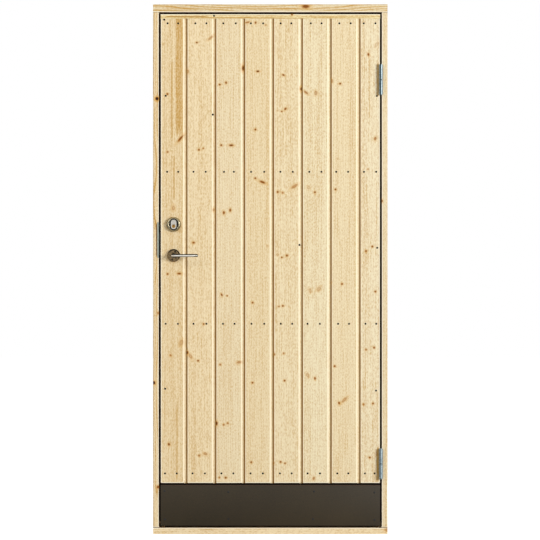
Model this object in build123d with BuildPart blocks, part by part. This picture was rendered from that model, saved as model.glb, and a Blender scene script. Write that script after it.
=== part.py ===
"""Timber shed door: a tongued and grooved leaf hung in its rebated frame.

X runs across the door with the hinges at +X, Y runs into the wall with the outside face at -Y,
and Z is up. The origin is the middle of the threshold's underside. All sizes are in millimetres.
"""

import os

from build123d import *

# Frame, outside sizes
frame_width = 790
frame_height = 1785
frame_depth = 92

# Frame timber: lips beside the leaf and stops behind it
rebate_depth = 48
jamb_lip = 20
jamb_stop = 18
head_lip = 27.3
head_stop = 18
threshold_lip = 26
threshold_stop = 16
threshold_sill = 22.2
threshold_fall = 1.7
arris = 1.5

# Gaps round the closed leaf
lock_side_gap = 5.4
hinge_side_gap = 5
top_gap = 5.2
bottom_gap = 5.8

# Leaf
leaf_thickness = 44
board_thickness = 16
board_pitch = 97.2
first_board_cover = 87
board_gap = 0.4
tongue_reach = 8
tongue_strip = 7
tongue_depth = 5
tongue_thickness = 5
groove_clearance = 0.3
groove_bevel = 3.8
tongue_bevel = 3.6
batten_height = 15.7
batten_joint = 0.3
kick_plate_height = 143.5
kick_plate_thickness = 1.2

# Framing behind the boards
framing_inset = 2
stile_width = 95
top_rail_height = 95
middle_rail_height = 95
bottom_rail_height = 200
upper_rail_centre = 1222
lower_rail_centre = 708
tenon_thickness = 10
tenon_length = 45
tenon_shoulder = 12
tenon_clearance = 0.2

# Seal in the stop
seal_foot_width = 3
seal_foot_depth = 6
seal_bulb_width = 9
seal_clearance = 0.3

# Hinges
top_hinge_drop = 221.5
bottom_hinge_rise = 209
knuckle_radius = 6.7
knuckle_length = 49
knuckle_stand_off = 0.5
hinge_pin_radius = 4
hinge_pin_length = 38
hinge_pin_clearance = 0.08
hinge_washer_radius = 5.9
hinge_washer_thickness = 1.6
hinge_cap_height = 2.4
hinge_cap_edge = 1.2
hinge_cap_radius = 5.2
hinge_plate_length = 100
hinge_plate_depth = 31
hinge_plate_thickness = 2.5
hinge_running_gap = 0.3
hinge_recess = 1.5

# Lock and latch
lock_backset = 44
lever_height = 938.5
cylinder_spacing = 105
forend_width = 22
forend_length = 235
forend_thickness = 3
case_thickness = 14
case_length = 172
case_depth = 72
lock_clearance = 0.3
bolt_thickness = 12
bolt_depth = 26
latch_length = 24
latch_rise = 24
latch_nose = 2
deadbolt_length = 32
deadbolt_rise = 72
bolt_clearance = 0.5

# Strike plate
strike_length = 120
strike_thickness = 2
strike_lip_width = 6
strike_flange_depth = 40
strike_margin = 2.5
strike_mortise_depth = 13

# Cylinder and its ring
cylinder_height = 33
cylinder_width = 20
cylinder_proud = 11
ring_radius = 25
ring_front_radius = 20.5
ring_edge = 2.5
ring_height = 12
ring_recess_width = 32
ring_recess_height = 39
ring_recess_depth = 5
cylinder_clearance = 0.3
cylinder_bore_radius = 17.5
plug_radius = 6.5
plug_drop = 6.2
plug_groove = 0.4
plug_groove_depth = 0.6
keyway_width = 1.8
keyway_height = 8.5
keyway_depth = 7

# Lever set
spindle_width = 8
spindle_bore_radius = 9
follower_bore_radius = 6.2
rose_radius = 21.8
rose_front_radius = 19.8
rose_height = 8
rose_rim = 3
collar_radius = 7.8
collar_clearance = 0.08
collar_end_radius = 6.9
collar_reach = 16
collar_foot = 0.5
grip_radius = 4.75
grip_stand_off = 42
grip_length = 82
grip_bend = 14
tip_length = 15
tip_inset = 6
tip_bend = 24
tip_taper = 3
socket_depth = 14

# Frame screw holes
frame_screw_radius = 5
frame_screw_centre = 870
frame_screw_spacing = 900
frame_screw_setback = 26

# Places worked out from the sizes above
front = -frame_depth / 2
back = frame_depth / 2
stop_face = front + rebate_depth
outer_x = frame_width / 2
lip_x = outer_x - jamb_lip
stop_x = lip_x - jamb_stop
head_soffit = frame_height - head_lip
head_stop_z = head_soffit - head_stop
threshold_top = threshold_lip + threshold_stop
leaf_left = -lip_x + lock_side_gap
leaf_right = lip_x - hinge_side_gap
leaf_bottom = threshold_sill + bottom_gap
leaf_top = head_soffit - top_gap
board_back = front + board_thickness
leaf_back = front + leaf_thickness
board_top = leaf_top - batten_height - batten_joint
framing_left = leaf_left + framing_inset
framing_right = leaf_right - framing_inset
framing_bottom = leaf_bottom + framing_inset
framing_top = leaf_top - framing_inset
framing_middle_y = (board_back + leaf_back) / 2
stile_inner_left = framing_left + stile_width
stile_inner_right = framing_right - stile_width
spindle_x = leaf_left + lock_backset
cylinder_z = lever_height + cylinder_spacing
lock_middle_z = (lever_height + cylinder_z) / 2
latch_z = lever_height + latch_rise
deadbolt_z = lever_height + deadbolt_rise
seal_line_x = stop_x + jamb_stop / 2
seal_line_z = head_soffit - head_stop / 2
hinge_x = leaf_right + hinge_side_gap / 2
hinge_y = front - knuckle_stand_off - knuckle_radius
hinge_heights = {"top": leaf_top - top_hinge_drop, "bottom": leaf_bottom + bottom_hinge_rise}
case_front = framing_middle_y - case_thickness / 2
case_back = framing_middle_y + case_thickness / 2

# Rails by name: the middle height and the height of each
rails = {
    "rail_top": (framing_top - top_rail_height / 2, top_rail_height),
    "rail_upper": (upper_rail_centre, middle_rail_height),
    "rail_lower": (lower_rail_centre, middle_rail_height),
    "rail_bottom": (framing_bottom + bottom_rail_height / 2, bottom_rail_height),
}

os.makedirs("parts", exist_ok=True)


def write(piece, name):
    """Label a finished piece and write its STEP file."""
    piece.label = name
    export_step(piece, f"parts/{name}.step")


def block(x_range, y_range, z_range, mode=Mode.ADD):
    """A squared piece of timber or a cut, from its limits along each axis."""
    limits = (x_range, y_range, z_range)
    with Locations(Vector(*(sum(limit) / 2 for limit in limits))):
        Box(*(high - low for low, high in limits), mode=mode)


def span(middle, length):
    """The two ends of a length laid out about its middle."""
    return (middle - length / 2, middle + length / 2)


def face_plane(x, y, z, outward):
    """A plane facing along outward (-1 out of doors, +1 indoors) with its own Y axis upward."""
    return Plane(origin=(x, y, z), x_dir=(-outward, 0, 0), z_dir=(0, outward, 0))


# Head: one full-width rail, rebated for the leaf
with BuildPart() as frame_head:
    with BuildSketch(Plane.YZ.offset(-outer_x)):
        with BuildLine():
            Polyline(
                (front, frame_height),
                (front, head_soffit),
                (stop_face, head_soffit),
                (stop_face, head_stop_z),
                (back, head_stop_z),
                (back, frame_height),
                close=True,
            )
        make_face()
    extrude(amount=frame_width)
    chamfer(frame_head.edges().filter_by(Axis.X).group_by(Axis.Y)[0], arris)
    block(
        (-outer_x, outer_x),
        (stop_face, stop_face + seal_foot_depth),
        span(seal_line_z, seal_foot_width),
        Mode.SUBTRACT,
    )
write(frame_head.part, "frame_head")

# Threshold: full width under the jambs, its rebate weathered between them
with BuildPart() as threshold:
    with BuildSketch(Plane.YZ.offset(-outer_x)):
        with BuildLine():
            Polyline(
                (front, 0),
                (back, 0),
                (back, threshold_top),
                (stop_face, threshold_top),
                (stop_face, threshold_lip),
                (front, threshold_lip),
                close=True,
            )
        make_face()
    extrude(amount=frame_width)
    with BuildSketch(Plane.YZ.offset(-lip_x)):
        with BuildLine():
            fall = Line((front, threshold_sill), (stop_face, threshold_sill + threshold_fall))
            Polyline(fall @ 1, (stop_face, threshold_lip), (front, threshold_lip), fall @ 0)
        make_face()
    extrude(amount=2 * lip_x, mode=Mode.SUBTRACT)
write(threshold.part, "threshold")


def jamb(side):
    """One jamb between threshold and head, with its lip, stop, seal kerf and frame screw holes."""
    with BuildPart() as post:
        block(sorted((side * outer_x, side * lip_x)), (front, stop_face), (threshold_lip, head_soffit))
        chamfer(post.edges().filter_by(Axis.Z).group_by(Axis.Y)[0], arris)
        block(sorted((side * outer_x, side * stop_x)), (stop_face, back), (threshold_top, head_stop_z))
        block(
            span(side * seal_line_x, seal_foot_width),
            (stop_face, stop_face + seal_foot_depth),
            (threshold_top, head_stop_z),
            Mode.SUBTRACT,
        )
        for height in span(frame_screw_centre, frame_screw_spacing):
            with Locations((side * (lip_x + jamb_lip / 2), front + frame_screw_setback, height)):
                Cylinder(frame_screw_radius, jamb_lip, rotation=(0, 90, 0), mode=Mode.SUBTRACT)
    return post.part


# Left jamb: housed for the strike plate, with mortises behind its two bolt holes
strike_z = span(lock_middle_z, strike_length)
strike_flange_y = (front, front + strike_flange_depth)
strike_lip_y = (front, front + strike_thickness)
strike_hole_y = span(framing_middle_y, bolt_thickness + 2 * strike_margin)
strike_holes = (
    span(latch_z, latch_length + 2 * strike_margin),
    span(deadbolt_z, deadbolt_length + 2 * strike_margin),
)

left_post = jamb(-1)
with BuildPart() as jamb_left:
    add(left_post)
    block((-lip_x - strike_thickness, -lip_x), strike_flange_y, strike_z, Mode.SUBTRACT)
    block((-lip_x - strike_lip_width, -lip_x), strike_lip_y, strike_z, Mode.SUBTRACT)
    for hole_z in strike_holes:
        block((-lip_x - strike_thickness - strike_mortise_depth, -lip_x), strike_hole_y, hole_z, Mode.SUBTRACT)
write(jamb_left.part, "jamb_left")

# Strike plate: a bent steel angle, its short leg on the jamb's front face
with BuildPart() as strike_plate:
    block((-lip_x - strike_thickness, -lip_x), strike_flange_y, strike_z)
    block((-lip_x - strike_lip_width, -lip_x), strike_lip_y, strike_z)
    chamfer(strike_plate.edges().filter_by(Axis.Z).group_by(Axis.Y)[0].sort_by(Axis.X)[-1], arris)
    for hole_z in strike_holes:
        block((-lip_x - strike_thickness, -lip_x), strike_hole_y, hole_z, Mode.SUBTRACT)
write(strike_plate.part, "strike_plate")

# Right jamb: recessed for the fixed hinge plates
plate_y = (front, front + hinge_plate_depth)
frame_plate_x = (lip_x + hinge_recess - hinge_plate_thickness, lip_x + hinge_recess)
leaf_plate_x = (framing_right, framing_right + hinge_plate_thickness)

right_post = jamb(1)
with BuildPart() as jamb_right:
    add(right_post)
    for height in hinge_heights.values():
        block((lip_x, frame_plate_x[1]), plate_y, span(height, hinge_plate_length), Mode.SUBTRACT)
write(jamb_right.part, "jamb_right")


def seal_profile():
    """Section of the rubber strip: a foot in the kerf and a bulb toward the leaf."""
    bulb_reach = stop_face - leaf_back - seal_clearance
    with BuildSketch() as profile:
        with BuildLine():
            EllipticalCenterArc((0, 0), seal_bulb_width / 2, bulb_reach, start_angle=0, arc_size=180)
            Line((-seal_bulb_width / 2, 0), (seal_bulb_width / 2, 0))
        make_face()
        with Locations((0, -seal_foot_depth / 2)):
            Rectangle(seal_foot_width, seal_foot_depth)
    return profile.sketch


# Seals: strips up both jambs and across under the head
for seal_name, side in (("seal_left", -1), ("seal_right", 1)):
    seal_foot = (side * seal_line_x, stop_face, threshold_top)
    seal_plane = Plane(origin=seal_foot, x_dir=(-1, 0, 0), z_dir=(0, 0, 1))
    with BuildPart() as seal:
        with BuildSketch(seal_plane):
            add(seal_profile())
        extrude(amount=head_stop_z - threshold_top)
    write(seal.part, seal_name)

with BuildPart() as seal_head:
    half_run = seal_line_x - seal_bulb_width / 2 - seal_clearance
    with BuildSketch(Plane(origin=(-half_run, stop_face, seal_line_z), x_dir=(0, 0, 1), z_dir=(1, 0, 0))):
        add(seal_profile())
    extrude(amount=2 * half_run)
write(seal_head.part, "seal_head")


def bore_for_lock(near_y, far_y):
    """Cut the holes for the spindle and the cylinder through the leaf between two depths."""
    for radius, height in ((spindle_bore_radius, lever_height), (cylinder_bore_radius, cylinder_z)):
        with Locations((spindle_x, (near_y + far_y) / 2, height)):
            Cylinder(radius, far_y - near_y, rotation=(90, 0, 0), mode=Mode.SUBTRACT)


def board_outline(left, right, has_groove, has_tongue):
    """Section of a cladding board between two cover lines, seen from above."""
    groove = groove_bevel if has_groove else 0
    tongue_face = front + tongue_depth
    tongue_back = tongue_face + tongue_thickness
    points = [(left, front + groove), (left + groove, front)]
    if has_tongue:
        points += [
            (right - tongue_strip - tongue_bevel, front),
            (right - tongue_strip, tongue_face),
            (right + tongue_reach, tongue_face),
            (right + tongue_reach, tongue_back),
            (right - board_gap, tongue_back),
            (right - board_gap, board_back),
        ]
    else:
        points += [(right, front), (right, board_back)]
    points += [(left, board_back)]
    if has_groove:
        depth = left + tongue_reach + groove_clearance
        points += [
            (left, tongue_back + groove_clearance),
            (depth, tongue_back + groove_clearance),
            (depth, tongue_face - groove_clearance),
            (left, tongue_face - groove_clearance),
        ]
    return points


# Cladding: tongued and grooved boards with bevelled edges, the last one cut to the width that is left
board_count = 1 + round((leaf_right - leaf_left - first_board_cover) / board_pitch)
cover_lines = [leaf_left]
cover_lines += [leaf_left + first_board_cover + board_pitch * step for step in range(board_count - 1)]
cover_lines += [leaf_right]

for number in range(1, board_count + 1):
    left, right = cover_lines[number - 1], cover_lines[number]
    first, last = number == 1, number == board_count
    with BuildPart() as board:
        with BuildSketch(Plane.XY.offset(leaf_bottom)):
            with BuildLine():
                outline = dict.fromkeys(board_outline(left, right, not first, not last))
                Polyline(*outline, close=True)
            make_face()
        extrude(amount=board_top - leaf_bottom)
        if first:
            bore_for_lock(front, board_back)
        if last:
            for height in hinge_heights.values():
                recess_z = span(height, hinge_plate_length)
                block((framing_right, leaf_right), (front, board_back), recess_z, Mode.SUBTRACT)
    write(board.part, f"board_{number}")

# Top batten over the ends of the boards
with BuildPart() as top_batten:
    block((leaf_left, leaf_right), (front, board_back), (leaf_top - batten_height, leaf_top))
write(top_batten.part, "top_batten")

# Kick plate: a sheet over the foot of the boards
with BuildPart() as kick_plate:
    block(
        (leaf_left, leaf_right),
        (front - kick_plate_thickness, front),
        (leaf_bottom, leaf_bottom + kick_plate_height),
    )
write(kick_plate.part, "kick_plate")


def rail_tenon(side, middle, height, clearance, mode):
    """A rail's tenon in a stile, or with a clearance its mortise."""
    start = stile_inner_left if side < 0 else stile_inner_right
    end = start + side * (tenon_length + clearance)
    tenon_y = span(framing_middle_y, tenon_thickness + 2 * clearance)
    tenon_z = span(middle, height - 2 * tenon_shoulder + 2 * clearance)
    block(sorted((start, end)), tenon_y, tenon_z, mode)


# Stiles, mortised for the rails
with BuildPart() as stile_left:
    block((framing_left, stile_inner_left), (board_back, leaf_back), (framing_bottom, framing_top))
    for middle, height in rails.values():
        rail_tenon(-1, middle, height, tenon_clearance, Mode.SUBTRACT)
    with BuildSketch(Plane.YZ.offset(framing_left)):
        with Locations((framing_middle_y, lock_middle_z)):
            SlotOverall(forend_length + 2 * lock_clearance, forend_width + 2 * lock_clearance, rotation=90)
    extrude(amount=forend_thickness, mode=Mode.SUBTRACT)
    block(
        (framing_left, framing_left + forend_thickness + case_depth + lock_clearance),
        span(framing_middle_y, case_thickness + 2 * lock_clearance),
        span(lock_middle_z, case_length + 2 * lock_clearance),
        Mode.SUBTRACT,
    )
    bore_for_lock(board_back, leaf_back)
write(stile_left.part, "stile_left")

with BuildPart() as stile_right:
    block((stile_inner_right, framing_right), (board_back, leaf_back), (framing_bottom, framing_top))
    for middle, height in rails.values():
        rail_tenon(1, middle, height, tenon_clearance, Mode.SUBTRACT)
write(stile_right.part, "stile_right")

# Rails with a tenon at each end
for rail_name, (middle, height) in rails.items():
    with BuildPart() as rail:
        block((stile_inner_left, stile_inner_right), (board_back, leaf_back), span(middle, height))
        rail_tenon(-1, middle, height, 0, Mode.ADD)
        rail_tenon(1, middle, height, 0, Mode.ADD)
    write(rail.part, rail_name)


def knuckle(radius, bottom, top, mode=Mode.ADD):
    """A round length of hinge about its axis, such as a knuckle, the pin or its bore."""
    with Locations((hinge_x, hinge_y, (bottom + top) / 2)):
        Cylinder(radius, top - bottom, mode=mode)


# Lift-off hinges: the leaf's upper knuckle drops over the pin of the fixed lower one
for hinge_name, height in hinge_heights.items():
    plate_z = span(height, hinge_plate_length)
    lower_top = height - hinge_washer_thickness / 2
    lower_end = lower_top - knuckle_length
    upper_foot = height + hinge_washer_thickness / 2 + hinge_running_gap
    upper_end = upper_foot + knuckle_length

    with BuildPart() as hinge_frame:
        block(frame_plate_x, plate_y, plate_z)
        block(frame_plate_x, (hinge_y, front), (lower_end, lower_top))
        knuckle(knuckle_radius, lower_end, lower_top)
        knuckle(hinge_cap_radius, lower_end - hinge_cap_height, lower_end)
        chamfer(hinge_frame.faces().sort_by(Axis.Z)[0].edges(), hinge_cap_edge)
        knuckle(hinge_washer_radius, lower_top, lower_top + hinge_washer_thickness)
        knuckle(hinge_pin_radius, lower_top, lower_top + hinge_pin_length)
    write(hinge_frame.part, f"hinge_frame_{hinge_name}")

    with BuildPart() as hinge_leaf:
        block(leaf_plate_x, plate_y, plate_z)
        block(leaf_plate_x, (hinge_y, front), (upper_foot, upper_end))
        knuckle(knuckle_radius, upper_foot, upper_end)
        knuckle(hinge_cap_radius, upper_end, upper_end + hinge_cap_height)
        chamfer(hinge_leaf.faces().sort_by(Axis.Z)[-1].edges(), hinge_cap_edge)
        bore_radius = hinge_pin_radius + hinge_pin_clearance
        knuckle(bore_radius, upper_foot, upper_foot + hinge_pin_length, Mode.SUBTRACT)
    write(hinge_leaf.part, f"hinge_leaf_{hinge_name}")

# Mortise lock: forend and case, bored for the spindle, with pockets for the two bolts
bolt_y = span(framing_middle_y, bolt_thickness)
with BuildPart() as lock_case:
    with BuildSketch(Plane.YZ.offset(framing_left)):
        with Locations((framing_middle_y, lock_middle_z)):
            SlotOverall(forend_length, forend_width, rotation=90)
    extrude(amount=forend_thickness)
    block(
        (framing_left + forend_thickness, framing_left + forend_thickness + case_depth),
        (case_front, case_back),
        span(lock_middle_z, case_length),
    )
    with Locations((spindle_x, framing_middle_y, lever_height)):
        Cylinder(follower_bore_radius, case_thickness, rotation=(90, 0, 0), mode=Mode.SUBTRACT)
    for middle, length in ((latch_z, latch_length), (deadbolt_z, deadbolt_length)):
        block(
            (framing_left, framing_left + bolt_depth + bolt_clearance),
            span(framing_middle_y, bolt_thickness + 2 * bolt_clearance),
            span(middle, length + 2 * bolt_clearance),
            Mode.SUBTRACT,
        )
write(lock_case.part, "lock_case")

# Latch, drawn back to a low bevelled nose, and deadbolt, flush with the forend
with BuildPart() as lock_bolts:
    with BuildSketch(Plane.XY.offset(latch_z - latch_length / 2)):
        with BuildLine():
            Polyline(
                (framing_left + bolt_depth, bolt_y[0]),
                (framing_left, bolt_y[0]),
                (framing_left - latch_nose, bolt_y[1] - latch_nose),
                (framing_left - latch_nose, bolt_y[1]),
                (framing_left + bolt_depth, bolt_y[1]),
                close=True,
            )
        make_face()
    extrude(amount=latch_length)
    block((framing_left, framing_left + bolt_depth), bolt_y, span(deadbolt_z, deadbolt_length))
write(lock_bolts.part, "lock_bolts")


def turned(plane, outline):
    """A round piece turned about a plane's normal, from (radius, height) points of its outline."""
    half_section = Plane(origin=plane.origin, x_dir=plane.x_dir, z_dir=plane.y_dir.reverse())
    with BuildPart() as piece:
        with BuildSketch(half_section):
            with BuildLine():
                Polyline(*outline, close=True)
            make_face()
        revolve(axis=Axis(plane.origin, plane.z_dir))
    return piece.part


def cylinder_ring(face_y, outward):
    """Tapered ring round the lock cylinder, dished on its front."""
    plane = face_plane(spindle_x, face_y, cylinder_z, outward)
    outline = [
        (0, 0),
        (ring_radius, 0),
        (ring_radius, ring_edge),
        (ring_front_radius, ring_height),
        (0, ring_height),
    ]
    cone = turned(plane, outline)
    with BuildPart() as ring:
        add(cone)
        with BuildSketch(plane.offset(ring_height)):
            Ellipse(ring_recess_width / 2, ring_recess_height / 2)
        extrude(amount=-ring_recess_depth, mode=Mode.SUBTRACT)
        with BuildSketch(plane.offset(ring_height)):
            hole_height = cylinder_height + 2 * cylinder_clearance
            SlotOverall(hole_height, cylinder_width + 2 * cylinder_clearance, rotation=90)
        extrude(amount=-ring_height, mode=Mode.SUBTRACT)
    return ring.part


def lock_cylinder(face_y, outward, seat_y):
    """Oval lock cylinder from the case out to its ring, with the plug and keyway in its face."""
    plane = face_plane(spindle_x, face_y, cylinder_z, outward).offset(cylinder_proud)
    length = abs(face_y + outward * cylinder_proud - seat_y)
    with BuildPart() as barrel:
        with BuildSketch(plane):
            SlotOverall(cylinder_height, cylinder_width, rotation=90)
        extrude(amount=-length)
        with BuildSketch(plane):
            with Locations((0, -plug_drop)):
                Circle(plug_radius)
                Circle(plug_radius - plug_groove, mode=Mode.SUBTRACT)
        extrude(amount=-plug_groove_depth, mode=Mode.SUBTRACT)
        with BuildSketch(plane):
            with Locations((0, -plug_drop)):
                Rectangle(keyway_width, keyway_height)
        extrude(amount=-keyway_depth, mode=Mode.SUBTRACT)
    return barrel.part


def rose(face_y, outward):
    """Round tapered rose that carries the lever's collar."""
    plane = face_plane(spindle_x, face_y, lever_height, outward)
    bore = collar_radius + collar_clearance
    outline = [
        (bore, 0),
        (rose_radius, 0),
        (rose_radius, rose_rim),
        (rose_front_radius, rose_height),
        (bore, rose_height),
    ]
    return turned(plane, outline)


def lever(face_y, outward):
    """Round-bar lever: a collar on the spindle, a bent neck, the grip and a turned-in tip."""
    plane = face_plane(spindle_x, face_y, lever_height, outward)
    collar_top = rose_height + collar_reach
    collar_outline = [
        (0, collar_foot),
        (collar_radius, collar_foot),
        (collar_radius, rose_height),
        (collar_end_radius, collar_top),
        (0, collar_top),
    ]
    collar = turned(plane, collar_outline)
    neck_y = face_y + outward * (collar_top - grip_radius)
    grip_y = face_y + outward * grip_stand_off
    tip_x = spindle_x + grip_length
    with BuildPart() as handle:
        add(collar)
        with BuildLine():
            path = FilletPolyline(
                (spindle_x, neck_y, lever_height),
                (spindle_x, grip_y, lever_height),
                (tip_x - tip_length, grip_y, lever_height),
                (tip_x, grip_y - outward * tip_inset, lever_height),
                radius=[grip_bend, tip_bend],
            )
        with BuildSketch(Plane(origin=path @ 0, z_dir=path % 0)):
            Circle(grip_radius)
        sweep()
        chamfer(handle.faces().sort_by(Axis.X)[-1].edges(), tip_taper)
        with BuildSketch(plane):
            Rectangle(spindle_width, spindle_width)
        extrude(amount=rose_height + socket_depth, mode=Mode.SUBTRACT)
    return handle.part


# Door furniture, outside and inside
write(cylinder_ring(front, -1), "cylinder_ring_outside")
write(cylinder_ring(leaf_back, 1), "cylinder_ring_inside")
write(lock_cylinder(front, -1, case_front), "cylinder_outside")
write(lock_cylinder(leaf_back, 1, case_back), "cylinder_inside")
write(rose(front, -1), "rose_outside")
write(rose(leaf_back, 1), "rose_inside")
write(lever(front, -1), "lever_outside")
write(lever(leaf_back, 1), "lever_inside")

# Square spindle through the lock, seated in both levers
with BuildPart() as spindle:
    spindle_end = rose_height + socket_depth
    block(
        (spindle_x - spindle_width / 2, spindle_x + spindle_width / 2),
        (front - spindle_end, leaf_back + spindle_end),
        (lever_height - spindle_width / 2, lever_height + spindle_width / 2),
    )
write(spindle.part, "spindle")
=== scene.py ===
from math import cos, pi, radians, sin

import bmesh
import bpy
from mathutils import Matrix, Vector


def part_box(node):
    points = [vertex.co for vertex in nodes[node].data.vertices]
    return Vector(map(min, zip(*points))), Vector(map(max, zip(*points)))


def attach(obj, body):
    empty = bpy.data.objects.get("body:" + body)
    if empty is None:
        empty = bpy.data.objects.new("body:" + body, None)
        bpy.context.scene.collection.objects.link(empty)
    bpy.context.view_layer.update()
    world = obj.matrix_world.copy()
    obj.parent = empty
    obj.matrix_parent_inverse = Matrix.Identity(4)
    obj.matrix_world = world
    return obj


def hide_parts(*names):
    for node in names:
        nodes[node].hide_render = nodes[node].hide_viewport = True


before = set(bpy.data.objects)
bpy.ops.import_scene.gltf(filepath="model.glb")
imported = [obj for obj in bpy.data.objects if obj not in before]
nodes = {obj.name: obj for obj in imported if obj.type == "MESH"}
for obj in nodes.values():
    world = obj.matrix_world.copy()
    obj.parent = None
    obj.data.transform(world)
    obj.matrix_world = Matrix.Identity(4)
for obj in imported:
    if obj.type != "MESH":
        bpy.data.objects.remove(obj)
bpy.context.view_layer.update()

# Camera: square on to the outside of the door, half way up, through a long lens, so that no
# side of the frame shows. The picture is square and a little taller than the door.
outside_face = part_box("jamb_left")[0].y
picture_height, camera_distance = 1.8193, 20.0
camera_across, camera_height = -0.001, 0.8898
camera_data = bpy.data.cameras.new("camera")
camera_data.sensor_width = 36.0
camera_data.lens = camera_data.sensor_width * camera_distance / picture_height
camera_data.clip_end = 100.0
camera = bpy.data.objects.new("camera", camera_data)
camera.location = (camera_across, outside_face - camera_distance, camera_height)
camera.rotation_euler = (pi / 2, 0, 0)
bpy.context.scene.collection.objects.link(camera)
bpy.context.scene.camera = camera
bpy.context.scene.view_settings.view_transform = "Standard"


# Studio: a white room with a pale floor, a broad lamp to the right of the door for the shadows
# that run left from the hinges, and weaker lamps in front and behind.
def linear(hex_colour):
    """An sRGB colour such as "e6d0a6" as the linear RGBA that Blender's sockets take."""
    channels = [int(hex_colour[place:place + 2], 16) / 255 for place in (0, 2, 4)]
    return [c / 12.92 if c <= 0.04045 else ((c + 0.055) / 1.055) ** 2.4 for c in channels] + [1.0]


def add_node(tree, kind, sockets=None, **settings):
    """Add a node to a tree: settings are its properties, sockets are values or links by name or place."""
    node = tree.nodes.new(kind)
    for name, value in settings.items():
        setattr(node, name, value)
    for socket, value in (sockets or {}).items():
        if isinstance(value, bpy.types.NodeSocket):
            tree.links.new(value, node.inputs[socket])
        else:
            node.inputs[socket].default_value = value
    return node


def new_material(name):
    """A material with an empty node tree, and its surface output."""
    material = bpy.data.materials.new(name)
    material.use_nodes = True
    material.node_tree.nodes.clear()
    output = material.node_tree.nodes.new("ShaderNodeOutputMaterial")
    return material, material.node_tree, output.inputs["Surface"]


def finish_mesh(name, mesh, material, smooth_angle=None):
    """Turn a bmesh into an object at the origin, with outward faces and a material."""
    bmesh.ops.remove_doubles(mesh, verts=mesh.verts, dist=1e-6)
    bmesh.ops.recalc_face_normals(mesh, faces=mesh.faces)
    data = bpy.data.meshes.new(name)
    mesh.to_mesh(data)
    mesh.free()
    data.materials.append(material)
    if smooth_angle is not None:
        data.shade_smooth()
        data.set_sharp_from_angle(angle=radians(smooth_angle))
    piece = bpy.data.objects.new(name, data)
    bpy.context.scene.collection.objects.link(piece)
    return piece


world = bpy.data.worlds.new("studio")
world.use_nodes = True
bpy.context.scene.world = world
tree = world.node_tree
tree.nodes.clear()
rays = add_node(tree, "ShaderNodeLightPath").outputs
seen = add_node(tree, "ShaderNodeMath", {0: rays["Is Camera Ray"], 1: rays["Is Glossy Ray"]}, operation="MAXIMUM")
seen = add_node(tree, "ShaderNodeMath", {0: seen.outputs[0], 1: rays["Is Transmission Ray"]}, operation="MAXIMUM")
ambient = 0.4
strength = add_node(tree, "ShaderNodeMapRange", {0: seen.outputs[0], 3: ambient, 4: 1.0})
sky = add_node(tree, "ShaderNodeBackground", {"Color": (1, 1, 1, 1), "Strength": strength.outputs[0]})
add_node(tree, "ShaderNodeOutputWorld", {"Surface": sky.outputs[0]})

# Matt floor paint takes the door's soft shadow, and a glow that only the camera sees makes it
# read nearly white without throwing light on the door.
floor_glow, floor_reach = 0.78, 40
floor_white, tree, surface = new_material("pale painted studio floor")
rays = add_node(tree, "ShaderNodeLightPath").outputs
paint = add_node(tree, "ShaderNodeBsdfDiffuse", {"Color": linear("d0d0d0")})
glow_share = add_node(tree, "ShaderNodeMath", {0: rays["Is Camera Ray"], 1: floor_glow}, operation="MULTIPLY")
glow = add_node(tree, "ShaderNodeEmission", {"Strength": glow_share.outputs[0]})
both = add_node(tree, "ShaderNodeAddShader", {0: paint.outputs[0], 1: glow.outputs[0]})
tree.links.new(both.outputs[0], surface)

floor_mesh = bmesh.new()
bmesh.ops.create_grid(floor_mesh, x_segments=1, y_segments=1, size=floor_reach)
floor = finish_mesh("floor", floor_mesh, floor_white)

door_middle = Vector((0, 0, 0.9))
lamps = {  # place, width, power in watts: each is turned to the middle of the door
    "right_lamp": ((7.4, -6.7, 2.3), 2.6, 775),
    "upper_left_lamp": ((-3.0, -3.8, 3.4), 1.8, 55),
    "back_lamp": ((-1.5, 4.5, 2.4), 2.5, 120),
}
for name, (place, size, power) in lamps.items():
    lamp_data = bpy.data.lights.new(name, "AREA")
    lamp_data.size = size
    lamp_data.energy = power
    lamp = bpy.data.objects.new(name, lamp_data)
    lamp.location = place
    lamp.rotation_euler = (door_middle - Vector(place)).to_track_quat("-Z", "Y").to_euler()
    bpy.context.scene.collection.objects.link(lamp)


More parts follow.
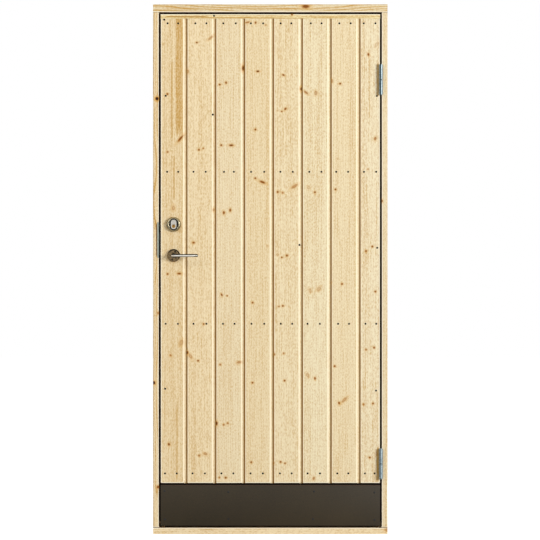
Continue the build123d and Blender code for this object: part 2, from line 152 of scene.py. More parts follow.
# Frame: four members of planed pine, rebated and nailed together at the corners. The wood is left
# bare, so it shows straight grain, faint growth rings, and knots that push the grain aside.
def knot_group():
    """Adds one knot to the wood's marks: the push it gives the grain, its core and the stain round it."""
    group = bpy.data.node_groups.new("knot", "ShaderNodeTree")
    panel = group.interface
    for name in ("Place", "Centre", "Turn", "Half size", "Marks"):
        panel.new_socket(name, in_out="INPUT", socket_type="NodeSocketVector")
    for name in ("Ragged", "Darkness"):
        panel.new_socket(name, in_out="INPUT", socket_type="NodeSocketFloat")
    panel.new_socket("Marks", in_out="OUTPUT", socket_type="NodeSocketVector")
    given = add_node(group, "NodeGroupInput").outputs
    local = add_node(group, "ShaderNodeMapping", {
        "Vector": given["Place"], "Location": given["Centre"], "Rotation": given["Turn"], "Scale": given["Half size"],
    }, vector_type="TEXTURE").outputs[0]
    radius = add_node(group, "ShaderNodeVectorMath", {0: local}, operation="LENGTH").outputs["Value"]
    radius = add_node(group, "ShaderNodeMath", {0: radius, 1: given["Ragged"]}, operation="ADD").outputs[0]
    # A knot's edge is at a radius of 1. A faint one is a ring, with sound wood in the middle.
    core = add_node(group, "ShaderNodeMapRange", {0: radius, 1: 1.9, 2: 1.0, 4: given["Darkness"]}).outputs[0]
    inside = add_node(group, "ShaderNodeMapRange", {0: radius, 1: 1.3, 2: 0.7}).outputs[0]
    sound = add_node(group, "ShaderNodeMapRange", {0: given["Darkness"], 1: 0.95, 2: 0.75, 4: 0.7}).outputs[0]
    inside = add_node(group, "ShaderNodeMath", {0: inside, 1: sound}, operation="MULTIPLY").outputs[0]
    inside = add_node(group, "ShaderNodeMath", {0: 1.0, 1: inside}, operation="SUBTRACT").outputs[0]
    core = add_node(group, "ShaderNodeMath", {0: core, 1: inside}, operation="MULTIPLY").outputs[0]
    stain = add_node(group, "ShaderNodeMapRange", {0: radius, 1: 3.4, 2: 1.4, 4: given["Darkness"]}).outputs[0]
    reach = add_node(group, "ShaderNodeVectorMath", {0: local, 1: (0.42, 0.42, 0.16)}, operation="MULTIPLY").outputs[0]
    reach = add_node(group, "ShaderNodeVectorMath", {0: reach}, operation="LENGTH").outputs["Value"]
    reach = add_node(group, "ShaderNodeMapRange", {
        0: reach, 1: 1.0, 2: 0.0, 4: 0.8,
    }, interpolation_type="SMOOTHSTEP").outputs[0]
    offset = add_node(group, "ShaderNodeVectorMath", {
        0: given["Place"], 1: given["Centre"],
    }, operation="SUBTRACT").outputs[0]
    sideways = add_node(group, "ShaderNodeSeparateXYZ", {0: offset}).outputs["X"]
    push = add_node(group, "ShaderNodeMath", {0: sideways, 1: reach}, operation="MULTIPLY").outputs[0]
    marks = add_node(group, "ShaderNodeCombineXYZ", {0: push, 1: core, 2: stain}).outputs[0]
    marks = add_node(group, "ShaderNodeVectorMath", {0: marks, 1: given["Marks"]}, operation="ADD").outputs[0]
    add_node(group, "NodeGroupOutput", {"Marks": marks})
    return group


def streak_group():
    """Adds one long dark streak, fading out at its ends: used for stripes of heartwood and for lines of painted shade.
    """
    group = bpy.data.node_groups.new("streak", "ShaderNodeTree")
    panel = group.interface
    for name in ("Place", "Centre", "Half size"):
        panel.new_socket(name, in_out="INPUT", socket_type="NodeSocketVector")
    for name in ("Darkness", "Streak"):
        panel.new_socket(name, in_out="INPUT", socket_type="NodeSocketFloat")
    panel.new_socket("Streak", in_out="OUTPUT", socket_type="NodeSocketFloat")
    given = add_node(group, "NodeGroupInput").outputs
    local = add_node(group, "ShaderNodeMapping", {
        "Vector": given["Place"], "Location": given["Centre"], "Scale": given["Half size"],
    }, vector_type="TEXTURE").outputs[0]
    sides = add_node(group, "ShaderNodeSeparateXYZ", {0: local}).outputs
    across = add_node(group, "ShaderNodeMath", {0: sides["X"]}, operation="ABSOLUTE").outputs[0]
    along = add_node(group, "ShaderNodeMath", {0: sides["Z"]}, operation="ABSOLUTE").outputs[0]
    across = add_node(group, "ShaderNodeMapRange", {
        0: across, 1: 1.15, 2: 0.75,
    }, interpolation_type="SMOOTHSTEP").outputs[0]
    along = add_node(group, "ShaderNodeMapRange", {
        0: along, 1: 1.0, 2: 0.8,
    }, interpolation_type="SMOOTHSTEP").outputs[0]
    both = add_node(group, "ShaderNodeMath", {0: across, 1: along}, operation="MULTIPLY").outputs[0]
    both = add_node(group, "ShaderNodeMath", {0: both, 1: given["Darkness"]}, operation="MULTIPLY").outputs[0]
    both = add_node(group, "ShaderNodeMath", {0: both, 1: given["Streak"]}, operation="MAXIMUM").outputs[0]
    add_node(group, "NodeGroupOutput", {"Streak": both})
    return group


def grain_group():
    """The wood itself: growth rings as contour lines, fibres, and the stains of knots and streaks, with the painted
    shade and painted highlights of joints and edges.
    """
    group = bpy.data.node_groups.new("pine grain", "ShaderNodeTree")
    panel = group.interface
    for name in ("Place", "Marks"):
        panel.new_socket(name, in_out="INPUT", socket_type="NodeSocketVector")
    for name in ("Tone", "Late wood"):
        panel.new_socket(name, in_out="INPUT", socket_type="NodeSocketColor")
    for name in ("Seed", "Ring width", "Wander", "Contrast", "Streak", "Brown", "Pale"):
        panel.new_socket(name, in_out="INPUT", socket_type="NodeSocketFloat")
    panel.new_socket("Colour", in_out="OUTPUT", socket_type="NodeSocketColor")
    panel.new_socket("Height", in_out="OUTPUT", socket_type="NodeSocketFloat")
    given = add_node(group, "NodeGroupInput").outputs
    push, core, stain = add_node(group, "ShaderNodeSeparateXYZ", {0: given["Marks"]}).outputs
    sides = add_node(group, "ShaderNodeSeparateXYZ", {0: given["Place"]}).outputs
    across = add_node(group, "ShaderNodeMath", {
        0: sides["Y"], 1: 0.9, 2: sides["X"],
    }, operation="MULTIPLY_ADD").outputs[0]
    across = add_node(group, "ShaderNodeMath", {0: across, 1: push}, operation="SUBTRACT").outputs[0]
    flow = add_node(group, "ShaderNodeCombineXYZ", {0: across, 1: given["Seed"], 2: sides["Z"]}).outputs[0]

    # Each noise is drawn out along the grain, by how fast it changes across, through and along.
    noises = {}
    for name, stretch, detail in (
        ("swing", (0.016, 1.0, 0.0016), 2.0), ("fibres", (0.42, 1.0, 0.011), 3.0),
        ("bands", (0.06, 1.0, 0.0012), 1.0), ("flecks", (0.40, 1.0, 0.15), 2.0),
    ):
        drawn = add_node(group, "ShaderNodeVectorMath", {0: flow, 1: stretch}, operation="MULTIPLY").outputs[0]
        noises[name] = add_node(group, "ShaderNodeTexNoise", {"Vector": drawn, "Scale": 1.0, "Detail": detail}).outputs[0]
    swing = add_node(group, "ShaderNodeMath", {0: noises["swing"], 1: given["Wander"]}, operation="MULTIPLY").outputs[0]
    rings = add_node(group, "ShaderNodeMath", {0: across, 1: given["Ring width"]}, operation="DIVIDE").outputs[0]
    rings = add_node(group, "ShaderNodeMath", {0: rings, 1: swing}, operation="ADD").outputs[0]
    rings = add_node(group, "ShaderNodeMath", {0: rings}, operation="FRACT").outputs[0]
    profile = add_node(group, "ShaderNodeFloatCurve", {1: rings})
    curve = profile.mapping.curves[0]
    curve.points[0].location = (0.0, 0.10)
    curve.points[1].location = (1.0, 0.10)
    for point in ((0.25, 0.0), (0.70, 0.25), (0.90, 1.0)):
        curve.points.new(*point)
    profile.mapping.update()
    rings = profile.outputs[0]
    rings = add_node(group, "ShaderNodeMath", {0: rings, 1: given["Contrast"]}, operation="MULTIPLY").outputs[0]

    shade = rings
    for name, low, high, least, most in (
        ("fibres", 0.35, 0.7, -0.08, 0.28), ("bands", 0.45, 0.8, 0.0, 0.26), ("flecks", 0.35, 0.7, -0.25, 0.38),
    ):
        part = add_node(group, "ShaderNodeMapRange", {0: noises[name], 1: low, 2: high, 3: least, 4: most}).outputs[0]
        shade = add_node(group, "ShaderNodeMath", {0: shade, 1: part}, operation="ADD").outputs[0]
    shade = add_node(group, "ShaderNodeMath", {0: shade, 1: given["Streak"]}, operation="ADD", use_clamp=True).outputs[0]
    wood = add_node(group, "ShaderNodeMix", {
        0: shade, 6: given["Tone"], 7: given["Late wood"],
    }, data_type="RGBA").outputs[2]
    pitch_and_edge_shade = add_node(group, "ShaderNodeMapRange", {0: given["Streak"], 1: 1.0, 2: 2.0}).outputs[0]
    stain = add_node(group, "ShaderNodeMath", {0: stain, 1: 0.5}, operation="MULTIPLY").outputs[0]
    heart = add_node(group, "ShaderNodeMapRange", {0: core, 1: 0.75, 2: 1.25}).outputs[0]
    dead = add_node(group, "ShaderNodeMapRange", {0: core, 1: 1.3, 2: 1.7}).outputs[0]
    # Pale is painted highlight on bevels and arrises, and Brown is painted shade in the joints; the pitch colour,
    # reached by streaks over 1, also serves as the painted shade along edges and by the strike plate.
    for amount, colour in (
        (given["Pale"], "faf0d4"), (pitch_and_edge_shade, "553317"), (given["Brown"], "926300"),
        (stain, "d2a044"), (core, "9d5c10"), (heart, "643606"), (dead, "120a06"),
    ):
        wood = add_node(group, "ShaderNodeMix", {0: amount, 6: wood, 7: linear(colour)}, data_type="RGBA").outputs[2]
    height = add_node(group, "ShaderNodeMath", {0: noises["fibres"], 1: 0.5, 2: rings}, operation="MULTIPLY_ADD").outputs[0]
    add_node(group, "NodeGroupOutput", {"Colour": wood, "Height": height})
    return group


knot = knot_group()
streak = streak_group()
grain = grain_group()


def on_door(px, py):
    """A place in the photograph, in its pixels, as millimetres across and up the front of the door."""
    millimetres_per_pixel = 3.369
    return (px - 270.3) * millimetres_per_pixel, (534.1 - py) * millimetres_per_pixel


def on_grain(px, py, along):
    """A place in the photograph as millimetres across and along the grain of a piece."""
    across, up = on_door(px, py)
    return (up, across) if along == "X" else (across, up)


def place_in_mm(tree):
    """Places on the object in millimetres, so that a pattern takes the size of the real one."""
    place = add_node(tree, "ShaderNodeTexCoord").outputs["Object"]
    return add_node(tree, "ShaderNodeVectorMath", {0: place, "Scale": 1000.0}, operation="SCALE").outputs[0]


def planed_pine(name, tone, seed, along="Z", ring_width=8.0, wander=3.0, contrast=0.2,
                knots=(), streaks=(), joints=None, arrises=()):
    """Planed, unfinished pine: pale and nearly matt, with its grain along one axis.

    Knots are (px, py, half width, half length, turn in degrees, darkness) and streaks are
    (px, py, half width, half length, darkness): placed by the photograph's pixels, sized in mm.
    Joints are the board's two sides in mm: painted shade in each joint, and painted highlight on the
    bevels beside it. Arrises are (axis, mm): pale, broken edges that also carry a painted highlight,
    with painted shade in the corner at the gap, where X is across the grain and Z along it.
    """
    material, tree, surface = new_material(name)
    place = place_in_mm(tree)
    if along == "X":
        sides = add_node(tree, "ShaderNodeSeparateXYZ", {0: place}).outputs
        place = add_node(tree, "ShaderNodeCombineXYZ", {0: sides["Z"], 1: sides["Y"], 2: sides["X"]}).outputs[0]
    marks, dark, brown, pale = (0, 0, 0), 0.0, 0.0, 0.0
    ragged = add_node(tree, "ShaderNodeTexNoise", {"Vector": place, "Scale": 0.35, "Detail": 2.0}).outputs[0]
    ragged = add_node(tree, "ShaderNodeMath", {0: ragged, 1: 0.7}, operation="MULTIPLY").outputs[0]
    knot_depth = 18
    here = place
    for px, py, half_width, half_length, turn, darkness in knots:
        across, up = on_grain(px, py, along)
        marks = add_node(tree, "ShaderNodeGroup", {
            "Place": here, "Centre": (across, outside_face * 1000, up), "Turn": (0, radians(turn), 0),
            "Half size": (half_width, knot_depth, half_length), "Ragged": ragged, "Darkness": darkness, "Marks": marks,
        }, node_tree=knot).outputs[0]
        # A shift far too small to see makes Cycles work the knots out in turn: it has no room for all at once.
        here = add_node(tree, "ShaderNodeVectorMath", {
            0: marks, 1: (1e-9, 1e-9, 1e-9), 2: place,
        }, operation="MULTIPLY_ADD").outputs[0]
    for px, py, half_width, half_length, darkness in streaks:
        across, up = on_grain(px, py, along)
        dark = add_node(tree, "ShaderNodeGroup", {
            "Place": place, "Centre": (across, 0, up), "Half size": (half_width, 1e5, half_length),
            "Darkness": darkness, "Streak": dark,
        }, node_tree=streak).outputs[0]
    sides = add_node(tree, "ShaderNodeSeparateXYZ", {0: place}).outputs
    if joints:
        left, right = joints
        across = add_node(tree, "ShaderNodeMapRange", {0: sides["X"], 1: left, 2: right}).outputs[0]
        edge = add_node(tree, "ShaderNodeValToRGB", {0: across})
        stops = edge.color_ramp.elements
        width = right - left
        stops[0].color = stops[1].color = (0, 0, 0, 1)
        # The ramp's red is painted shade in the joint, on the bevel turned away from the lamp, and its green a painted
        # highlight on the lit bevels and arrises beside it.
        for from_left, in_joint, on_bevel in (
            (0.3, 1.0, 0.0), (3.6, 1.0, 0.0), (4.1, 0.0, 0.7), (5.3, 0.0, 0.5), (6.5, 0.0, 0.0),
            (width - 12, 0.0, 0.0), (width - 10.8, 0.0, 0.8), (width - 7.8, 0.0, 0.8), (width - 6.8, 0.0, 0.2),
            (width - 2.9, 0.0, 0.1), (width - 1.7, 1.0, 0.0),
        ):
            stops.new(from_left / width).color = (in_joint, on_bevel, 0, 1)
        brown, pale = add_node(tree, "ShaderNodeSeparateColor", {0: edge.outputs[0]}).outputs[:2]
    # Only the outside gets the pale arris, partly wear and partly painted highlight, and the painted shade along the
    # gap: both fade out 3 to 5 mm behind its face.
    in_front = add_node(tree, "ShaderNodeMapRange", {0: sides["Y"], 1: -41.0, 2: -43.0}).outputs[0]
    for axis, position in arrises:
        aside = add_node(tree, "ShaderNodeMath", {0: sides[axis], 1: position}, operation="SUBTRACT").outputs[0]
        aside = add_node(tree, "ShaderNodeMath", {0: aside}, operation="ABSOLUTE").outputs[0]
        worn_arris_and_painted_highlight = add_node(tree, "ShaderNodeMapRange", {0: aside, 1: 3.8, 2: 3.0, 4: in_front}).outputs[0]
        painted_edge_shade = add_node(tree, "ShaderNodeMapRange", {0: aside, 1: 1.5, 2: 1.1, 4: in_front}).outputs[0]
        pale = add_node(tree, "ShaderNodeMath", {0: worn_arris_and_painted_highlight, 1: pale}, operation="MAXIMUM").outputs[0]
        dark = add_node(tree, "ShaderNodeMath", {0: painted_edge_shade, 1: 2.0, 2: dark}, operation="MULTIPLY_ADD").outputs[0]
    wood = add_node(tree, "ShaderNodeGroup", {
        "Place": place, "Tone": linear(tone), "Late wood": linear("c1954a"), "Seed": seed * 7.3,
        "Ring width": ring_width, "Wander": wander, "Contrast": contrast,
        "Marks": marks, "Streak": dark, "Brown": brown, "Pale": pale,
    }, node_tree=grain)
    bump = add_node(tree, "ShaderNodeBump", {"Strength": 0.12, "Distance": 0.0004, "Height": wood.outputs["Height"]})
    body = add_node(tree, "ShaderNodeBsdfPrincipled", {
        "Base Color": wood.outputs["Colour"], "Roughness": 0.62, "Specular IOR Level": 0.25, "Normal": bump.outputs[0],
    })
    tree.links.new(body.outputs[0], surface)
    return material


def dress(node, material):
    """Give a carried-over CAD piece its material."""
    nodes[node].data.materials.clear()
    nodes[node].data.materials.append(material)


dress("frame_head", planed_pine(
    "planed pine, head", "dfcfaa", 11, along="X", contrast=1.0, ring_width=8, wander=7,
    knots=[(305.7, 6.4, 5.5, 11, 0, 1.05)],
    streaks=[(180, 9, 1.5, 60, 0.5), (330, 9.5, 1.2, 90, 0.35), (230, 7.5, 1.2, 70, 0.3)], arrises=[("X", 1757.7)],
))
dress("threshold", planed_pine(
    "planed pine, threshold", "ecd8b0", 12, along="X", contrast=0.25, knots=[(387.3, 530, 5, 6, 0, 0.8)],
    streaks=[(207, 529.5, 1.2, 20, 0.5), (155.8, 526.4, 1.0, 10, 1.4), (384.8, 526.4, 1.0, 10, 1.4)],
    arrises=[("X", 22.2)],
))
dress("jamb_left", planed_pine(
    "planed pine, left jamb", "e9d5ae", 13, wander=12, contrast=0.8, ring_width=9,
    knots=[
        (157, 98.7, 4.4, 4.8, 0, 2.0), (153.9, 382.8, 4.2, 4.8, 0, 1.5), (158, 313, 2.4, 4, 0, 0.9),
        (158, 487, 4, 4.5, 0, 1.0),
    ],
    # The streak beside the strike plate is painted shade along the edge of its recess.
    streaks=[(156.6, 239.8, 1.6, 62, 2.0)], arrises=[("X", -375.0)],
))
dress("jamb_right", planed_pine(
    "planed pine, right jamb", "e3d3af", 14, contrast=0.2, knots=[(382, 201, 2.5, 4, 0, 1.0)], arrises=[("X", 375.0)],
))


# Strike plate: a folded steel lip let into the rebate of the left jamb, screwed on behind the
# leaf. It is satin stainless, so it shows as a plain grey edge beside the gap.
def metal(name, colour, roughness, grain_mm=(0.4, 0.4, 0.4), variation=0.06, bump=0.1, metallic=1.0, specular=0.5):
    """Solid metal: its colour and gloss vary a little with a grain of the given size in millimetres."""
    material, tree, surface = new_material(name)
    place = place_in_mm(tree)
    place = add_node(tree, "ShaderNodeVectorMath", {0: place, 1: [1 / size for size in grain_mm]}, operation="MULTIPLY")
    fine = add_node(tree, "ShaderNodeTexNoise", {"Vector": place.outputs[0], "Scale": 1.0, "Detail": 3.0}).outputs[0]
    shade = add_node(tree, "ShaderNodeMapRange", {0: fine, 1: 0.3, 2: 0.7, 3: 1 - variation, 4: 1 + variation}).outputs[0]
    colour = add_node(tree, "ShaderNodeVectorMath", {0: linear(colour)[:3], "Scale": shade}, operation="SCALE").outputs[0]
    gloss = add_node(tree, "ShaderNodeMapRange", {
        0: fine, 1: 0.3, 2: 0.7, 3: roughness * 0.8, 4: roughness * 1.2,
    }).outputs[0]
    uneven = add_node(tree, "ShaderNodeBump", {"Strength": bump, "Distance": 0.0001, "Height": fine}).outputs[0]
    body = add_node(tree, "ShaderNodeBsdfPrincipled", {
        "Base Color": colour, "Metallic": metallic, "Roughness": gloss, "Normal": uneven, "Specular IOR Level": specular,
    })
    tree.links.new(body.outputs[0], surface)
    return material


# Brushing spreads the lights along the plate; zinc on the screws is paler and softer; their
# recesses hold shade.
brushed_steel = metal("stainless steel, brushed along its length", "a7b0a5", 0.38, (0.4, 0.4, 12.0))
screw_steel = metal("zinc-plated screw steel", "b4b3a8", 0.35)
dark_slot = metal("steel in the shade of a screw recess", "1c1b19", 0.6)
dress("strike_plate", brushed_steel)


def place_turned(mesh, outline, centre, along, steps):
    """Turn an outline of (radius, height) points, in metres, about an axis through a centre."""
    axis = Vector(along).normalized()
    side = axis.orthogonal().normalized()
    points = [mesh.verts.new(Vector(centre) + side * radius + axis * height) for radius, height in outline]
    edges = [mesh.edges.new(pair) for pair in zip(points, points[1:])]
    bmesh.ops.spin(mesh, geom=points + edges, cent=centre, axis=axis, angle=2 * pi, steps=steps, use_merge=True)


def screws(name, places, along, radius, recess, material, body, head=0.0009):
    """A set of round screw heads, head metres high, with a driver recess, each a turned dome."""
    mesh = bmesh.new()
    for place in places:
        outline = [
            (0, head - recess), (radius * 0.22, head - recess), (radius * 0.34, head * 0.96),
            (radius * 0.66, head * 0.8), (radius * 0.9, head * 0.4), (radius, 0),
        ]
        place_turned(mesh, outline, place, along, 14)
    piece = finish_mesh(name, mesh, material, smooth_angle=50)
    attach(piece, body)
    return piece


strike_face_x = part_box("strike_plate")[1].x + 0.0001
screws("strike_screws", [(strike_face_x, -0.036, z) for z in (0.943, 1.039)], (1, 0, 0),
       0.0034, 0.0006, screw_steel, "frame")

# Seals: black rubber strips pressed into saw cuts round the rebate. Each covers the bottom of the
# gap, and the near-black rubber there, with the flat strips below, stands in for the shade deep in
# the gap round the leaf: painted shade.
# Extruded rubber has a dull, slightly uneven skin; its tone is set darker than rubber's own, as painted shade for the
# gaps it lines.
rubber, tree, surface = new_material("black EPDM rubber, extruded")
place = place_in_mm(tree)
skin = add_node(tree, "ShaderNodeTexNoise", {"Vector": place, "Scale": 1.5, "Detail": 2.0}).outputs[0]
tone = add_node(tree, "ShaderNodeMix", {0: skin, 6: linear("030303"), 7: linear("0b0b0a")}, data_type="RGBA").outputs[2]
bump = add_node(tree, "ShaderNodeBump", {"Strength": 0.2, "Distance": 0.0002, "Height": skin}).outputs[0]
body = add_node(tree, "ShaderNodeBsdfPrincipled", {
    "Base Color": tone, "Roughness": 0.8, "Specular IOR Level": 0.08, "Normal": bump,
})
tree.links.new(body.outputs[0], surface)


def strip(mesh, low, high, round_by):
    """A bar between two corners with rounded edges."""
    low, high = Vector(low), Vector(high)
    made = bmesh.ops.create_cube(mesh, size=1, matrix=Matrix.LocRotScale((low + high) / 2, None, high - low))
    edges = {edge for vert in made["verts"] for edge in vert.link_edges}
    bmesh.ops.bevel(mesh, geom=list(edges), offset=round_by, offset_type="OFFSET", affect="EDGES",
                    segments=3, profile=0.5, material=-1)


for name in ("seal_left", "seal_right", "seal_head"):
    dress(name, rubber)
stop_y = 0.002
fin_back, fin_front = stop_y - 0.0001, -0.0016
side_in, side_out, side_foot, fin_top = 0.3605, 0.3748, 0.0425, 1.7575
head_reach, foot_reach = 0.360, 0.3565
fin_bars = (
    ((-side_out, fin_front, side_foot), (-side_in, fin_back, fin_top), 0.0007),
    ((side_in, fin_front, side_foot), (side_out, fin_back, fin_top), 0.0007),
    ((-head_reach, fin_front, 1.7430), (head_reach, fin_back, fin_top), 0.0007),
    ((-foot_reach, fin_front, 0.0245), (foot_reach, fin_back, 0.0400), 0.0007),
    # Flat strips on the floor of the threshold's rebate and under the head: black sheets standing in for the shade at
    # the foot and head of the gap, painted shade.
    ((-foot_reach, -0.026, 0.0226), (foot_reach, fin_back, 0.0248), 0.0007),
    ((-head_reach, -0.030, 1.7570), (head_reach, fin_back, 1.7578), 0.0003),
)
mesh = bmesh.new()
for low, high, round_by in fin_bars:
    strip(mesh, low, high, round_by)
fins = finish_mesh("seal_fins", mesh, rubber, smooth_angle=40)
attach(fins, "frame")

# Leaf framing: stiles and rails of planed pine, tenoned together behind the boards, seen from
# the inside of the door.
framing_tone = "e9d3a8"
for count, name in enumerate(("stile_left", "stile_right")):
    dress(name, planed_pine(f"planed pine, {name}", framing_tone, 30 + count))
for count, name in enumerate(("rail_top", "rail_upper", "rail_lower", "rail_bottom")):
    dress(name, planed_pine(f"planed pine, {name}", framing_tone, 40 + count, along="X"))

# Boards: eight tongued and grooved pine boards with bevelled joints, planed and bare. The knots
# and streaks are where the photograph shows them, and each board gives its tone, knots, streaks.
boards = {
    1: ("e6d2aa", [
        (163.2, 44.5, 2, 3, 0, 0.5), (167.4, 94, 3, 3, 0, 1.0), (167.6, 151.9, 3, 3, 0, 0.9),
        (180.4, 138.6, 3.4, 12, 40, 1.0), (173.4, 208, 4, 6.5, 0, 0.75), (167.6, 274, 3, 3, 0, 1.0),
        (179.2, 273.6, 6, 3, 0, 1.0), (170.6, 355.3, 3, 3, 0, 0.9), (181.4, 342.6, 5, 8, 20, 0.6),
        (168.9, 444.3, 3.2, 4.2, -15, 1.1),
    ], [
        (179.2, 73, 13, 225, 0.6), (172, 100, 1.9, 140, 0.8), (174, 178, 1.9, 80, 0.75), (177, 441, 1.8, 140, 0.75),
        (165, 400, 1.6, 160, 0.35),
    ]),
    2: ("e9d6af", [
        (196.8, 42.5, 3, 2.6, 0, 1.0), (210.5, 38, 3, 8, 45, 0.8), (198.9, 149.8, 3, 3, 0, 1.0),
        (203.3, 148.3, 2.5, 2.5, 0, 0.9), (193.6, 242.6, 4, 3.2, 0, 1.0), (198.1, 360.7, 3, 3, 0, 1.0),
        (199.1, 455.5, 3, 3, 0, 0.9), (205.4, 453.8, 5.5, 3.6, 20, 0.8), (187.9, 71.5, 2.5, 5, 0, 0.8),
        (187.2, 352.6, 3, 5, 0, 1.3), (213.8, 209.8, 3, 4, 0, 0.8),
        (190.6, 356.4, 3.6, 7, -30, 0.75), (203.7, 324, 2.6, 2.6, 0, 1.0),
    ], [(202, 300, 1.6, 220, 0.18)]),
    3: ("e7d7b3", [
        (219.7, 84.6, 3, 2.6, 0, 1.1), (226.1, 82.7, 3, 3.4, 0, 1.0), (221.2, 145.2, 3, 3, 0, 1.0),
        (231.3, 145.3, 6, 3.2, 0, 1.1), (223.8, 212.7, 3.2, 5, 0, 1.0), (230.2, 210.2, 3, 5, 0, 1.0),
        (239.0, 362.3, 6, 3.4, -10, 0.85), (220.2, 364.6, 3, 3, 0, 0.9), (223.7, 424.7, 3, 3, 0, 0.9),
        (227.7, 423.3, 3, 3, 0, 0.9), (219.4, 477.5, 2.6, 2.6, 0, 0.9), (225.7, 477.7, 3, 3, 0, 1.1),
        (216.6, 423.4, 3, 6, 0, 1.3), (243.4, 68, 4, 8, 0, 1.2),
        (221.7, 294.8, 2.6, 4.2, -25, 1.0), (227.2, 295.8, 2.3, 2.3, 0, 1.0),
    ], [(236, 250, 1.5, 300, 0.15)]),
    4: ("e6d4ad", [
        (247.5, 22.3, 6, 2.4, -15, 0.9), (255.6, 22.6, 2.6, 3.6, 0, 1.0), (257.8, 71.3, 4.4, 2.8, 0, 1.2),
        (255.4, 129.6, 3, 3, 0, 1.0), (255.3, 178.2, 3, 3, 0, 1.0), (262.4, 182.1, 9, 3.6, 20, 1.0),
        (252.6, 302.6, 3, 3, 0, 1.0), (252.5, 382.7, 3, 3, 0, 1.0), (251.2, 462.2, 3, 3, 0, 1.0),
        (265.6, 25, 2.6, 2.2, 0, 0.8), (267.5, 246, 2.6, 3.4, 0, 0.5),
    ], []),
    5: ("e8d8b3", [
        (283.4, 75, 4, 2.8, 20, 1.0), (285.4, 108.8, 3, 4.4, 30, 1.0), (281.8, 111.4, 2.4, 2.4, 0, 1.0),
        (277.7, 191.9, 3, 3.4, 0, 1.0), (282.7, 192.7, 3, 3, 0, 0.9), (286.9, 255.5, 3.4, 3.4, 0, 1.0),
        (281.8, 257.4, 2.6, 2.6, 0, 1.0), (282.8, 305.9, 3, 3, 0, 1.0), (278.9, 306.5, 2.4, 2.4, 0, 0.9),
        (284.6, 380.6, 3, 3, 0, 1.0), (280.6, 461.9, 3, 3, 0, 1.0), (285, 463.3, 2.6, 2.6, 0, 1.0),
        (301.4, 89, 3.4, 5, 0, 1.3), (274.4, 354.4, 2.6, 3, 0, 0.9),
        (294.4, 186.4, 3.6, 10, 55, 0.85), (283.7, 353.2, 2.6, 2.6, 0, 0.9), (273.6, 463, 2.4, 3, 0, 0.9),
        (277.6, 110.6, 2, 2, 0, 0.7), (277.3, 254.6, 3.4, 3, 0, 0.6),
    ], [(283, 135, 1.5, 60, 0.25)]),
    6: ("e9dcb9", [
        (306, 92.5, 3, 7, -50, 0.9), (315.8, 93, 4, 6, 0, 0.8), (314.9, 192.2, 3, 3, 0, 1.0),
        (315, 378.4, 3, 4, 0, 1.0), (313.8, 478.3, 3, 4.4, 15, 0.9),
        (307.6, 375.2, 3.6, 6.5, -30, 0.65), (308.7, 187.6, 4.4, 4.4, 0, 0.5), (310.2, 290.6, 4, 6, -20, 0.55),
        (319, 289, 4.6, 7, 40, 0.6),
    ], [(312, 125, 1.4, 90, 0.18)]),
    7: ("e8d8b3", [
        (340.1, 83.6, 3, 3, 0, 1.1), (332, 81, 3, 5, 0, 0.8), (335.5, 189.4, 3, 3, 0, 1.0),
        (330.5, 282.7, 3, 3, 0, 0.9), (342, 284, 3, 3, 0, 1.0), (334.7, 366.2, 3, 3, 0, 1.0),
        (339.1, 403, 3, 4.2, -15, 1.0), (344.4, 399.8, 3.6, 9.5, 45, 0.8), (337.6, 158.7, 2.4, 2.4, 0, 0.5),
    ], [(337.4, 100, 1.6, 120, 0.25)]),
    8: ("e9dcbb", [
        (368.4, 54.5, 3, 4.6, -15, 1.0), (376.6, 44.6, 4, 8, 30, 0.45), (375.3, 138.5, 3.6, 5, 15, 0.9),
        (368.2, 169.2, 2.6, 2.6, 0, 0.7), (366, 251.1, 3, 3, 0, 1.0), (372.3, 246.5, 3, 3, 0, 1.0),
        (375.3, 291.5, 3, 3, 0, 1.0), (374.1, 347.6, 3, 3.4, 0, 1.0), (366.1, 349.6, 3, 3, 0, 0.9),
        (376.6, 453.8, 3, 6, 0, 0.5), (363.6, 404.4, 3, 3, 0, 0.9), (373, 403.5, 3, 3, 0, 1.0),
        (369.8, 457.5, 3, 3, 0, 1.0),
    # The last two streaks, beside the hinges, are painted shade.
    ], [(369.3, 88, 3.4, 110, 0.3), (377.9, 79.6, 4.4, 62, 0.6), (377.9, 463.7, 4.4, 62, 0.6)]),
}
cover_lines = [-369.6, -282.6, -185.4, -88.2, 9.0, 106.2, 203.4, 300.6, 370.0]  # the joints, in mm across
foot_arris = 171.5
for number, (tone, knots, streaks) in boards.items():
    left, right = cover_lines[number - 1:number + 1]
    arrises = [("Z", foot_arris)]
    if number in (1, 8):
        arrises.append(("X", left if number == 1 else right))
    dress(f"board_{number}", planed_pine(
        f"planed pine, board {number}", tone, number, knots=knots, streaks=streaks, arrises=arrises,
        joints=(left if number > 1 else left - 8, right if number < 8 else right + 14),
    ))

# Top batten: a square strip of the same pine, planed and bare, nailed flat over the upper ends
# of the boards with its grain lying across them.
dress("top_batten", planed_pine(
    "planed pine, batten", "e8d8a7", 21, along="X", contrast=0.5, knots=[(292, 14.5, 3, 3, 0, 1.0)],
    streaks=[(186, 16.6, 1.8, 75, 1.2), (240, 17.4, 1.2, 140, 0.6), (340, 17.6, 1.2, 110, 0.6)], arrises=[("X", 1752.5)],
))

